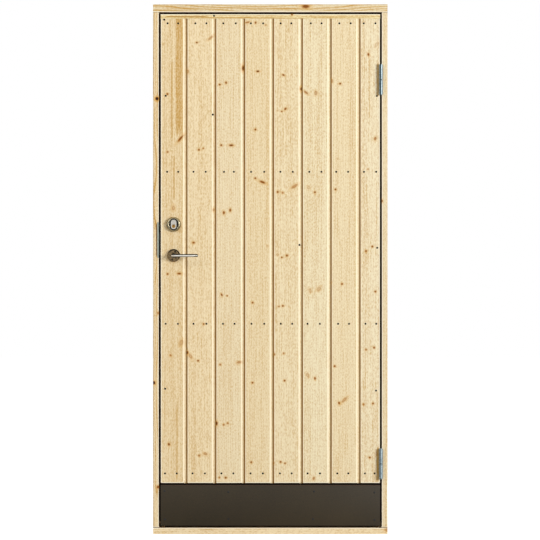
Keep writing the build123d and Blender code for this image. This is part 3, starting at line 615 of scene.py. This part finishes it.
# Nails: steel nails with small round heads, two to a board in four rows, driven through the
# boards into the rails, and a few odd ones. Their heads have gone black and dull.
nail_rows = {
    23.3: (167.6, 178.1, 195.4, 206.4, 223.3, 235.8, 250.9, 263.1,
           280.7, 291.3, 310.8, 321.6, 339.3, 350.7, 363.8, 375.4),
    171.8: (167.1, 178.2, 193.5, 205.7, 224.0, 233.9, 251.1, 264.2,
            280.4, 292.8, 309.3, 321.4, 336.2, 348.1, 364.0, 376.2),
    323.8: (165.6, 177.9, 193.5, 206.4, 223.0, 234.5, 251.5, 264.2,
            280.8, 292.2, 307.5, 319.9, 338.1, 349.0, 365.5, 376.2),
    473.4: (165.0, 176.8, 192.6, 204.9, 221.4, 233.3, 250.5, 262.9,
            279.9, 291.7, 307.6, 320.0, 337.2, 348.3, 365.0, 374.6),
}
odd_nails = [(165.7, 95.8), (376.8, 96.0), (377.2, 247.8), (164.2, 19.6), (212.8, 114.6), (299.5, 244.9),
             (214.0, 15.8), (165.1, 388.7), (376.0, 390.6)]
nail_radius = 0.0034
nail_outline = [(0, 0.0005), (nail_radius * 0.7, 0.0004), (nail_radius, 0.0001), (nail_radius, -0.001), (0, -0.001)]
nail_steel = metal("steel nail head, blackened", "0a0908", 0.75, metallic=0.0, specular=0.1)
mesh = bmesh.new()
for px, py in [(px, py) for py, row in nail_rows.items() for px in row] + odd_nails:
    across, up = on_door(px, py)
    place_turned(mesh, nail_outline, (across / 1000, outside_face, up / 1000), (0, -1, 0), 10)
nails = finish_mesh("nails", mesh, nail_steel, smooth_angle=40)
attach(nails, "leaf")

# Kick plate: folded steel sheet in dark brown paint, screwed over the foot of the boards. A black
# strip along its upper edge against the boards stands in for the shade line there: painted shade.
# Stoved matt paint is an even, deep brown with a faint mottle; the lighter, redder band on its rolled
# top edge is a painted reflection of the wood above.
plate_low, plate_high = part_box("kick_plate")
shade_strip_height, rolled_height, rolled_proud = 0.0060, 0.0020, 0.0008
edge_z = plate_high.z - shade_strip_height
rolled_mm = (edge_z - rolled_height) * 1000
paint, tree, surface = new_material("sheet steel, stoved in matt brown paint")
place = place_in_mm(tree)
fine = add_node(tree, "ShaderNodeTexNoise", {"Vector": place, "Scale": 0.45, "Detail": 3.0}).outputs[0]
broad = add_node(tree, "ShaderNodeTexNoise", {"Vector": place, "Scale": 0.006, "Detail": 1.0}).outputs[0]
mottle = add_node(tree, "ShaderNodeMath", {0: broad, 1: 0.5, 2: fine}, operation="MULTIPLY_ADD").outputs[0]
mottle = add_node(tree, "ShaderNodeMapRange", {0: mottle, 1: 0.5, 2: 1.0}).outputs[0]
tone = add_node(tree, "ShaderNodeMix", {0: mottle, 6: linear("1f1706"), 7: linear("332812")}, data_type="RGBA").outputs[2]
rise = add_node(tree, "ShaderNodeSeparateXYZ", {0: place}).outputs["Z"]
edge = add_node(tree, "ShaderNodeMapRange", {0: rise, 1: rolled_mm - 0.3, 2: rolled_mm + 0.3}).outputs[0]
tone = add_node(tree, "ShaderNodeMix", {0: edge, 6: tone, 7: linear("4a3420")}, data_type="RGBA").outputs[2]
bump = add_node(tree, "ShaderNodeBump", {"Strength": 0.25, "Distance": 0.0003, "Height": fine}).outputs[0]
body = add_node(tree, "ShaderNodeBsdfPrincipled", {
    "Base Color": tone, "Roughness": 0.5, "Specular IOR Level": 0.35, "Normal": bump,
})
tree.links.new(body.outputs[0], surface)

mesh = bmesh.new()
strip(mesh, plate_low, (plate_high.x, plate_high.y, edge_z), 0.0004)
strip(mesh, (plate_low.x, plate_low.y - rolled_proud, edge_z - rolled_height),
      (plate_high.x, plate_high.y, edge_z), 0.00095)
sheet = finish_mesh("kick_plate_sheet", mesh, paint, smooth_angle=40)
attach(sheet, "leaf")
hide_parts("kick_plate")
# The black strip on the plate's top edge is painted shade for the dark line there.
mesh = bmesh.new()
strip(mesh, (plate_low.x, plate_low.y + 0.0003, edge_z), plate_high, 0.0002)
shade_strip = finish_mesh("kick_plate_strip", mesh, rubber, smooth_angle=40)
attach(shade_strip, "leaf")
screw_paint = metal("screw head in dark brown paint", "080604", 0.7, metallic=0.0)
plate_screws = [
    (164.5, 491), (228.3, 492), (314, 491.5), (374.5, 492.5), (165, 519.5), (228.4, 519), (313, 519), (374.6, 520),
]
places = [(across / 1000, plate_low.y, up / 1000) for across, up in (on_door(px, py) for px, py in plate_screws)]
screws("kick_plate_screws", places, (0, -1, 0), 0.0034, 0.0005, screw_paint, "leaf")

# Hinges: two steel lift-off hinges, zinc plated. The lower knuckle and its pin are on the frame,
# the upper one drops over the pin, and each has a plate screwed into the edge of its side.
hinge_x, hinge_y = 0.3725, -0.0532
hinge_heights = {"top": 1.531, "bottom": 0.237}
# Dulled zinc gives a blue-grey that shifts with its spangle. A dark band down the knuckle is a
# painted dark reflection, weaker on the lower hinge, and the washer between its halves is darkened
# with painted shade.
dark_band_mm, leaf_front_mm = 371.4, -46.5
zinc, tree, surface = new_material("steel, zinc plated and dulled")
place = place_in_mm(tree)
fine = add_node(tree, "ShaderNodeTexNoise", {"Vector": place, "Scale": 0.35, "Detail": 4.0}).outputs[0]
spangle = add_node(tree, "ShaderNodeMapRange", {0: fine, 1: 0.35, 2: 0.65}).outputs[0]
tone = add_node(tree, "ShaderNodeMix", {
    0: spangle, 6: linear("56686e"), 7: linear("a0aeb2"),
}, data_type="RGBA").outputs[2]
outer, deep, rise = add_node(tree, "ShaderNodeSeparateXYZ", {0: place}).outputs
from_dark_band = add_node(tree, "ShaderNodeMath", {0: outer, 1: dark_band_mm}, operation="SUBTRACT").outputs[0]
from_dark_band = add_node(tree, "ShaderNodeMath", {0: from_dark_band}, operation="ABSOLUTE").outputs[0]
painted_shade_and_reflection = add_node(tree, "ShaderNodeMapRange", {0: from_dark_band, 1: 2.2, 2: 1.3}, interpolation_type="SMOOTHSTEP").outputs[0]
upper_hinge_share = add_node(tree, "ShaderNodeMapRange", {0: rise, 1: 800.0, 2: 1000.0, 3: 0.3}).outputs[0]
painted_shade_and_reflection = add_node(tree, "ShaderNodeMath", {0: painted_shade_and_reflection, 1: upper_hinge_share}, operation="MULTIPLY").outputs[0]
for height in hinge_heights.values():
    washer_shade = add_node(tree, "ShaderNodeMath", {0: rise, 1: height * 1000}, operation="SUBTRACT").outputs[0]
    washer_shade = add_node(tree, "ShaderNodeMath", {0: washer_shade}, operation="ABSOLUTE").outputs[0]
    washer_shade = add_node(tree, "ShaderNodeMapRange", {0: washer_shade, 1: 1.8, 2: 1.0}).outputs[0]
    painted_shade_and_reflection = add_node(tree, "ShaderNodeMath", {0: painted_shade_and_reflection, 1: washer_shade}, operation="MAXIMUM").outputs[0]
proud = add_node(tree, "ShaderNodeMapRange", {0: deep, 1: leaf_front_mm, 2: leaf_front_mm - 2.0}).outputs[0]
painted_shade_and_reflection = add_node(tree, "ShaderNodeMath", {0: painted_shade_and_reflection, 1: proud}, operation="MULTIPLY").outputs[0]
tone = add_node(tree, "ShaderNodeMix", {0: painted_shade_and_reflection, 6: tone, 7: linear("032c33")}, data_type="RGBA").outputs[2]
gloss = add_node(tree, "ShaderNodeMapRange", {0: fine, 1: 0.3, 2: 0.7, 3: 0.32, 4: 0.5}).outputs[0]
body = add_node(tree, "ShaderNodeBsdfPrincipled", {"Base Color": tone, "Metallic": 0.5, "Roughness": gloss})
tree.links.new(body.outputs[0], surface)

knuckle_radius, cap_radius, washer_radius = 0.0067, 0.0052, 0.0050
knuckle_length, cap_height, washer_height = 0.049, 0.0024, 0.0016
lift_clearance, edge_break = 0.0003, 0.0004
plate_back, plate_half_length = outside_face + 0.031, 0.05
plate_sides = {"frame": (0.374, 0.3765), "leaf": (0.368, 0.3705)}
plate_screw_places = ((0.010, -0.038), (0.022, -0.014), (0.010, 0.014), (0.022, 0.038))
for end, height in hinge_heights.items():
    middle = (hinge_x, hinge_y, height)
    for side, (near_x, far_x) in plate_sides.items():
        upward = 1 if side == "leaf" else -1
        inner_end = washer_height / 2 + (lift_clearance if side == "leaf" else 0)
        outer_end = inner_end + knuckle_length
        outline = [
            (0, inner_end), (knuckle_radius - edge_break, inner_end), (knuckle_radius, inner_end + edge_break),
            (knuckle_radius, outer_end - edge_break), (knuckle_radius - edge_break, outer_end),
            (cap_radius, outer_end), (cap_radius, outer_end + cap_height * 0.5),
            (cap_radius * 0.75, outer_end + cap_height), (0, outer_end + cap_height),
        ]
        mesh = bmesh.new()
        place_turned(mesh, outline, middle, (0, 0, upward), 32)
        if side == "frame":
            half_washer = washer_height / 2
            washer = [(0, -half_washer), (washer_radius, -half_washer), (washer_radius, half_washer), (0, half_washer)]
            place_turned(mesh, washer, middle, (0, 0, 1), 32)
        low_z, high_z = sorted((height + upward * inner_end, height + upward * outer_end))
        strip(mesh, (near_x, outside_face - 0.0001, height - plate_half_length),
              (far_x, plate_back, height + plate_half_length), edge_break)
        strip(mesh, (near_x, hinge_y, low_z), (far_x, outside_face + 0.002, high_z), edge_break)
        half = finish_mesh(f"hinge_{side}_{end}_dressed", mesh, zinc, smooth_angle=35)
        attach(half, side)
        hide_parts(f"hinge_{side}_{end}")
        facing_x, facing = (near_x, -1) if side == "frame" else (far_x, 1)
        screws(f"hinge_screws_{side}_{end}",
               [(facing_x, outside_face + depth, height + rise) for depth, rise in plate_screw_places],
               (facing, 0, 0), 0.0036, 0.0005, screw_steel, side, head=0.0007)

# Lock: a mortise case of sheet steel with a rounded forend let into the edge of the leaf, a
# sprung latch and a deadbolt.
for name in ("lock_case", "lock_bolts", "spindle"):
    dress(name, brushed_steel)
forend_x, forend_screw_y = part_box("lock_case")[0].x, -0.016
screws("forend_screws", [(forend_x, forend_screw_y, z) for z in (0.883, 1.099)], (-1, 0, 0),
       0.0034, 0.0006, screw_steel, "leaf", head=0.0008)

# Lock cylinders: an oval brass body, nickel plated and satin, with a bare brass plug low in its
# face for the key. One sits each side of the leaf, screwed together through the case.
# Satin nickel is a soft warm white and the turned plug a clear yellow; the keyway is a nearly black
# block that stands in for the shade in its slot, painted shade.
satin_nickel = metal("brass, satin nickel plated", "d4d0c6", 0.35, (0.3, 0.3, 0.3))
plug_brass = metal("brass, turned", "b98e4a", 0.3, (0.3, 0.3, 0.3))
key_shadow = metal("keyway, dark with painted_shade", "15120e", 0.7, metallic=0.3)
spindle_x, cylinder_z, lever_z = -0.3256, 1.0435, 0.9385
leaf_faces = (("outside", -0.046, -1), ("inside", -0.002, 1))  # its surface in Y, and the way it faces
seats = {"outside": -0.023, "inside": -0.009}
cylinder_proud, cylinder_chamfer = 0.011, 0.0008
barrel_radius, barrel_straight = 0.010, 0.0065
plug_z, plug_bore_radius, plug_recess = cylinder_z - 0.0062, 0.0065, 0.0006


def oval_loop(mesh, place, outward, radius, half_straight, segments=32):
    """An oval ring of edges standing upright, facing out of the door."""
    turn = Matrix.Rotation(pi / 2 * outward, 4, "X")
    made = bmesh.ops.create_circle(mesh, segments=segments, radius=radius, cap_ends=False)["verts"]
    bmesh.ops.transform(mesh, matrix=turn, verts=made)
    for direction in (1, -1):
        half = [vert for vert in made if vert.co.z * direction > 1e-9]
        bmesh.ops.translate(mesh, verts=half, vec=(0, 0, direction * half_straight))
    bmesh.ops.translate(mesh, verts=made, vec=place)
    return list({edge for vert in made for edge in vert.link_edges})


def join_rings(mesh, loops):
    """Join each ring of edges to the next."""
    for ring_a, ring_b in zip(loops, loops[1:]):
        bmesh.ops.bridge_loops(mesh, edges=ring_a + ring_b)


for side, surface_y, outward in leaf_faces:
    face_y = surface_y + outward * cylinder_proud
    mesh = bmesh.new()
    rings = [
        oval_loop(mesh, (spindle_x, y, cylinder_z), outward, barrel_radius - shrink, barrel_straight)
        for y, shrink in ((seats[side], 0.0), (face_y - outward * cylinder_chamfer, 0.0), (face_y, cylinder_chamfer))
    ]
    join_rings(mesh, rings)
    bmesh.ops.contextual_create(mesh, geom=rings[0])
    # The bore's rim stands a hair below the face, because bridging needs loops at two heights.
    rim = oval_loop(mesh, (spindle_x, face_y - outward * 0.00006, plug_z), outward, plug_bore_radius, 0.0)
    rim_low = oval_loop(mesh, (spindle_x, face_y - outward * plug_recess, plug_z), outward, plug_bore_radius, 0.0)
    join_rings(mesh, [rings[-1], rim, rim_low])
    bmesh.ops.contextual_create(mesh, geom=rim_low)
    barrel = finish_mesh(f"cylinder_{side}_dressed", mesh, satin_nickel, smooth_angle=35)
    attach(barrel, "leaf")
    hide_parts(f"cylinder_{side}")
    mesh = bmesh.new()
    plug_y = face_y - outward * 0.0001
    join_rings(mesh, [
        oval_loop(mesh, (spindle_x, y, plug_z), outward, radius, half_straight)
        for y, radius, half_straight in (
            (face_y - outward * plug_recess, 0.0061, 0.0), (plug_y, 0.0058, 0.0),
            (plug_y - outward * 0.00006, 0.0009, 0.0034),
        )
    ])
    plug = finish_mesh(f"cylinder_plug_{side}", mesh, plug_brass, smooth_angle=35)
    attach(plug, "leaf")
    # The keyway is a thin near-black block just behind the plug's face: painted shade for its slot.
    mesh = bmesh.new()
    low_y, high_y = sorted((plug_y - outward * 0.0004, plug_y - outward * 0.0001))
    strip(mesh, (spindle_x - 0.0010, low_y, plug_z - 0.0044), (spindle_x + 0.0010, high_y, plug_z + 0.0044), 0.00008)
    keyway = finish_mesh(f"keyway_{side}", mesh, key_shadow)
    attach(keyway, "leaf")

# Cylinder rings: tapered rings turned from brass and chrome plated, with a dark well round the
# cylinder's face. Each is screwed to the lock case from behind, so no fixing shows.
# Chrome over polished brass gives sharp warm reflections; the well is rough and near black, painted
# shade for the recess round the cylinder.
chrome = metal("brass, polished and chrome plated", "9e9478", 0.2, (0.5, 0.5, 0.5), variation=0.03, bump=0.03)
well_painted_shade = metal("near_black_painted_shade well of the ring", "0d0c0b", 0.5, metallic=0.3)
well_half_width, well_half_height = 0.01585, 0.01935
ring_levels = [  # half width, half height, height over the board
    (0.025, 0.025, 0.0), (0.025, 0.025, 0.0020), (0.0247, 0.0247, 0.0045), (0.0239, 0.0239, 0.0073),
    (0.0226, 0.0227, 0.0098), (0.0208, 0.0212, 0.0115), (0.0195, 0.0206, 0.0120), (0.0166, 0.0198, 0.01193),
    (0.0160, 0.0195, 0.0115), (0.0160, 0.0195, 0.0070),
]
well_levels = [(well_half_width, well_half_height, 0.0110), (well_half_width, well_half_height, 0.0072)]


def ellipse_loops(mesh, surface_y, outward, levels):
    """Upright ellipses round the cylinder, one for each level."""
    loops = []
    for half_width, half_height, height in levels:
        loop = oval_loop(mesh, (0, 0, 0), outward, half_width, 0.0, 64)
        verts = list({vert for edge in loop for vert in edge.verts})
        bmesh.ops.scale(mesh, vec=(1, 1, half_height / half_width), verts=verts)
        bmesh.ops.translate(mesh, vec=(spindle_x, surface_y + outward * height, cylinder_z), verts=verts)
        loops.append(loop)
    return loops


for side, surface_y, outward in leaf_faces:
    mesh = bmesh.new()
    join_rings(mesh, ellipse_loops(mesh, surface_y, outward, ring_levels))
    shell = finish_mesh(f"cylinder_ring_{side}_dressed", mesh, chrome, smooth_angle=40)
    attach(shell, "leaf")
    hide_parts(f"cylinder_ring_{side}")
    mesh = bmesh.new()
    walls = ellipse_loops(mesh, surface_y, outward, well_levels)
    hole_place = (spindle_x, surface_y + outward * 0.0071, cylinder_z)
    join_rings(mesh, walls + [oval_loop(mesh, hole_place, outward, 0.0103, barrel_straight, 64)])
    well = finish_mesh(f"cylinder_ring_well_{side}", mesh, well_painted_shade, smooth_angle=40)
    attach(well, "leaf")

# Roses: round tapered roses of browned steel, turned to shape and each held to the leaf by two
# dark screws, one over the spindle and one under it.
# Browning and wax give a dull, patchy brown gloss; the dark band round the upper right of the rim is
# a painted dark reflection.
dark_rim_towards = (0.5, 0.0, 0.87)
spindle_mm = (spindle_x * 1000, 0.0, lever_z * 1000)
dark_rim_level = sum(share * mm for share, mm in zip(dark_rim_towards, spindle_mm))
browned, tree, surface = new_material("steel, browned and waxed, grimed at the upper rim")
place = place_in_mm(tree)
flat = add_node(tree, "ShaderNodeVectorMath", {0: place, 1: (1.0, 0.0, 1.0)}, operation="MULTIPLY").outputs[0]
from_axis = add_node(tree, "ShaderNodeVectorMath", {0: flat, 1: spindle_mm}, operation="DISTANCE").outputs["Value"]
rim = add_node(tree, "ShaderNodeMapRange", {0: from_axis, 1: 17.6, 2: 19.2}, interpolation_type="SMOOTHSTEP").outputs[0]
lean = add_node(tree, "ShaderNodeVectorMath", {0: place, 1: dark_rim_towards}, operation="DOT_PRODUCT").outputs["Value"]
lean = add_node(tree, "ShaderNodeMapRange", {
    0: lean, 1: dark_rim_level - 4.0, 2: dark_rim_level + 8.0,
}, interpolation_type="SMOOTHSTEP").outputs[0]
rim = add_node(tree, "ShaderNodeMath", {0: rim, 1: lean}, operation="MULTIPLY").outputs[0]
patchy = add_node(tree, "ShaderNodeTexNoise", {"Vector": place, "Scale": 0.28, "Detail": 3.0}).outputs[0]
patchy = add_node(tree, "ShaderNodeMapRange", {0: patchy, 1: 0.35, 2: 0.65}).outputs[0]
face = add_node(tree, "ShaderNodeMix", {
    0: patchy, 6: linear("54493a"), 7: linear("a88e66"),
}, data_type="RGBA").outputs[2]
tone = add_node(tree, "ShaderNodeMix", {0: rim, 6: face, 7: linear("0e110d")}, data_type="RGBA").outputs[2]
bump = add_node(tree, "ShaderNodeBump", {"Strength": 0.1, "Distance": 0.0001, "Height": patchy}).outputs[0]
body = add_node(tree, "ShaderNodeBsdfPrincipled", {
    "Base Color": tone, "Metallic": 1.0, "Roughness": 0.27, "Normal": bump,
})
tree.links.new(body.outputs[0], surface)
rose_outline = [
    (0.00788, 0), (0.0218, 0), (0.0218, 0.0024), (0.0214, 0.0031), (0.0202, 0.0074), (0.0195, 0.0080),
    (0.0172, 0.0080), (0.0168, 0.0076), (0.0120, 0.0076), (0.0116, 0.0080), (0.00788, 0.0080), (0.00788, 0),
]
rose_face, rose_screw_places = 0.0076, ((0.005, 0.0133), (-0.005, -0.0133))
for side, surface_y, outward in leaf_faces:
    mesh = bmesh.new()
    place_turned(mesh, rose_outline, (spindle_x, surface_y, lever_z), (0, outward, 0), 64)
    plate = finish_mesh(f"rose_{side}_dressed", mesh, browned, smooth_angle=40)
    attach(plate, "leaf")
    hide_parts(f"rose_{side}")
    places = [(spindle_x + dx, surface_y + outward * rose_face, lever_z + dz) for dx, dz in rose_screw_places]
    # The screw heads take the near-black steel that stands for shade: painted shade.
    screws(f"rose_screws_{side}", places, (0, outward, 0), 0.0028, 0.0004, dark_slot, "leaf", head=0.0006)

# Levers: round chromed bars bent from the collar on the spindle, with the tip turned in towards
# the door. They turn together on the square spindle.
# Chrome shines white along its front; the dark bands above, below and at the tip are painted dark
# reflections.
lever_metal, tree, surface = new_material("steel bar, chrome plated and polished by hands")
place = place_in_mm(tree)
along, _, rise = add_node(tree, "ShaderNodeSeparateXYZ", {0: place}).outputs
axis_mm = lever_z * 1000
top = add_node(tree, "ShaderNodeMapRange", {
    0: rise, 1: axis_mm + 0.7, 2: axis_mm + 1.5,
}, interpolation_type="SMOOTHSTEP").outputs[0]
tip = add_node(tree, "ShaderNodeMapRange", {
    0: along, 1: -262.0, 2: -250.0, 4: 0.8,
}, interpolation_type="SMOOTHSTEP").outputs[0]
foot = add_node(tree, "ShaderNodeMapRange", {
    0: rise, 1: axis_mm - 2.3, 2: axis_mm - 3.7, 4: 0.85,
}, interpolation_type="SMOOTHSTEP").outputs[0]
painted_dark_bands = add_node(tree, "ShaderNodeMath", {0: top, 1: tip}, operation="MAXIMUM").outputs[0]
painted_dark_bands = add_node(tree, "ShaderNodeMath", {0: painted_dark_bands, 1: foot}, operation="MAXIMUM").outputs[0]
tone = add_node(tree, "ShaderNodeMix", {0: painted_dark_bands, 6: linear("fbf8ee"), 7: linear("080807")}, data_type="RGBA").outputs[2]
drawn = add_node(tree, "ShaderNodeVectorMath", {0: place, 1: (0.12, 2.5, 2.5)}, operation="MULTIPLY").outputs[0]
drawn = add_node(tree, "ShaderNodeTexNoise", {"Vector": drawn, "Scale": 1.0, "Detail": 3.0}).outputs[0]
gloss = add_node(tree, "ShaderNodeMapRange", {0: drawn, 1: 0.3, 2: 0.7, 3: 0.36, 4: 0.46}).outputs[0]
bump = add_node(tree, "ShaderNodeBump", {"Strength": 0.05, "Distance": 0.0001, "Height": drawn}).outputs[0]
body = add_node(tree, "ShaderNodeBsdfPrincipled", {
    "Base Color": tone, "Metallic": 1.0, "Roughness": gloss, "Normal": bump,
})
tree.links.new(body.outputs[0], surface)


def pull(mesh, ring, move, shrink=1.0):
    """Draw the open end of the bar on by a step, drawing it in if it tapers."""
    made = bmesh.ops.extrude_edge_only(mesh, edges=ring)["geom"]
    verts = [item for item in made if isinstance(item, bmesh.types.BMVert)]
    edges = [item for item in made if isinstance(item, bmesh.types.BMEdge)]
    bmesh.ops.translate(mesh, verts=verts, vec=move)
    middle = sum((vert.co for vert in verts), Vector()) / len(verts)
    bmesh.ops.scale(mesh, verts=verts, vec=(shrink, shrink, shrink), space=Matrix.Translation(-middle))
    return [edge for edge in edges if all(vert in verts for vert in edge.verts)]


def turn_bar(mesh, ring, centre, angle, steps):
    """Carry the open end of the bar round a bend."""
    made = bmesh.ops.spin(mesh, geom=ring, cent=centre, axis=(0, 0, 1), angle=angle, steps=steps)["geom_last"]
    return [item for item in made if isinstance(item, bmesh.types.BMEdge)]


grip_radius, grip_out, bend_radius = 0.00475, 0.042, 0.014
bar_start = 0.0192
tip_bend_radius, tip_angle = 0.024, 0.3805
lever_reach, tip_run = 0.082, 0.01962
bend_x, straight_end = spindle_x + bend_radius, spindle_x + lever_reach - tip_run
collar = [
    (0.0, 0.0005), (0.0078, 0.0005), (0.0078, 0.0085), (0.0076, 0.0089), (0.0069, 0.0236), (0.0065, 0.0240),
    (0.0, 0.0240),
]
for side, surface_y, outward in leaf_faces:
    mesh = bmesh.new()
    place_turned(mesh, collar, (spindle_x, surface_y, lever_z), (0, outward, 0), 40)
    start_y, grip_y = surface_y + outward * bar_start, surface_y + outward * grip_out
    bend_y = grip_y - outward * bend_radius
    turn = Matrix.Rotation(pi / 2 * outward, 4, "X")
    start = bmesh.ops.create_circle(mesh, segments=28, radius=grip_radius, cap_ends=True)["verts"]
    bmesh.ops.transform(mesh, matrix=turn, verts=start)
    bmesh.ops.translate(mesh, verts=start, vec=(spindle_x, start_y, lever_z))
    ring = list({edge for vert in start for edge in vert.link_edges})
    ring = pull(mesh, ring, (0, bend_y - start_y, 0))
    ring = turn_bar(mesh, ring, (bend_x, bend_y, lever_z), -pi / 2 * outward, 10)
    ring = pull(mesh, ring, (straight_end - bend_x, 0, 0))
    ring = turn_bar(mesh, ring, (straight_end, grip_y - outward * tip_bend_radius, lever_z), -tip_angle * outward, 5)
    heading = Vector((cos(tip_angle), -outward * sin(tip_angle), 0))
    for step, shrink in ((0.0080, 1.0), (0.0018, 0.9), (0.0010, 0.72), (0.0005, 0.5)):
        ring = pull(mesh, ring, heading * step, shrink)
    bmesh.ops.contextual_create(mesh, geom=ring)
    handle = finish_mesh(f"lever_{side}_dressed", mesh, lever_metal, smooth_angle=50)
    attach(handle, "lever")
    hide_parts(f"lever_{side}")
